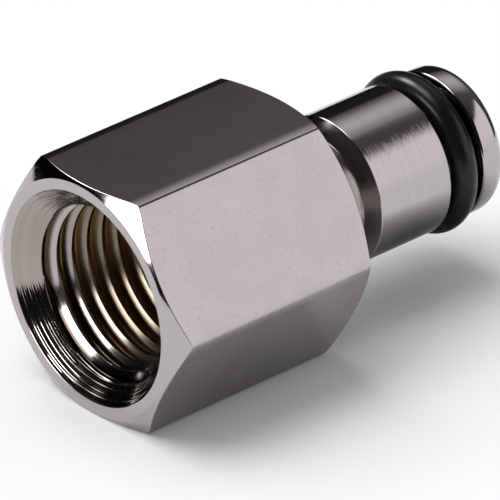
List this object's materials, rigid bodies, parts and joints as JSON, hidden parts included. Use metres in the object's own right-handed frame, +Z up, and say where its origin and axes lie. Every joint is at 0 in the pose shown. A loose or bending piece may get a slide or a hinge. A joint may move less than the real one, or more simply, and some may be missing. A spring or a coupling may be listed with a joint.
{
  "type": "quick coupling insert",
  "caption": "Valved quick coupling insert: hexagon body with a threaded port, latch groove, round nose with an O-ring, and a spring-loaded poppet that shuts the bore.",
  "frame": {"origin": "on the axis, in the plane of the threaded mouth's end face", "axes": "+X along the axis from the mouth to the nose tip, +Z up, with one flat of the hexagon facing down"},
  "size_m": [0.0332, 0.02, 0.0174],
  "materials": {
    "bright_plating": "polished",
    "seal_rubber": "satin",
    "natural_acetal": "satin",
    "spring_steel": "satin",
    "bare_brass": "satin"
  },
  "bodies": {
    "housing": {"insert_body": "bright_plating", "nose_o_ring": "seal_rubber", "valve_spring": "spring_steel", "spring_retainer": "bare_brass", "retaining_ring": "spring_steel"},
    "poppet": {"valve_poppet": "natural_acetal", "poppet_seal": "seal_rubber"}
  },
  "joints": [
    {"name": "poppet_slide", "type": "slide", "parent": "housing", "child": "poppet", "axis": [-1, 0, 0], "range_m": [0, 0.003], "stiffness_N_per_m": 1600, "springref_m": -0.0025, "deforming": ["valve_spring"]}
  ]
}
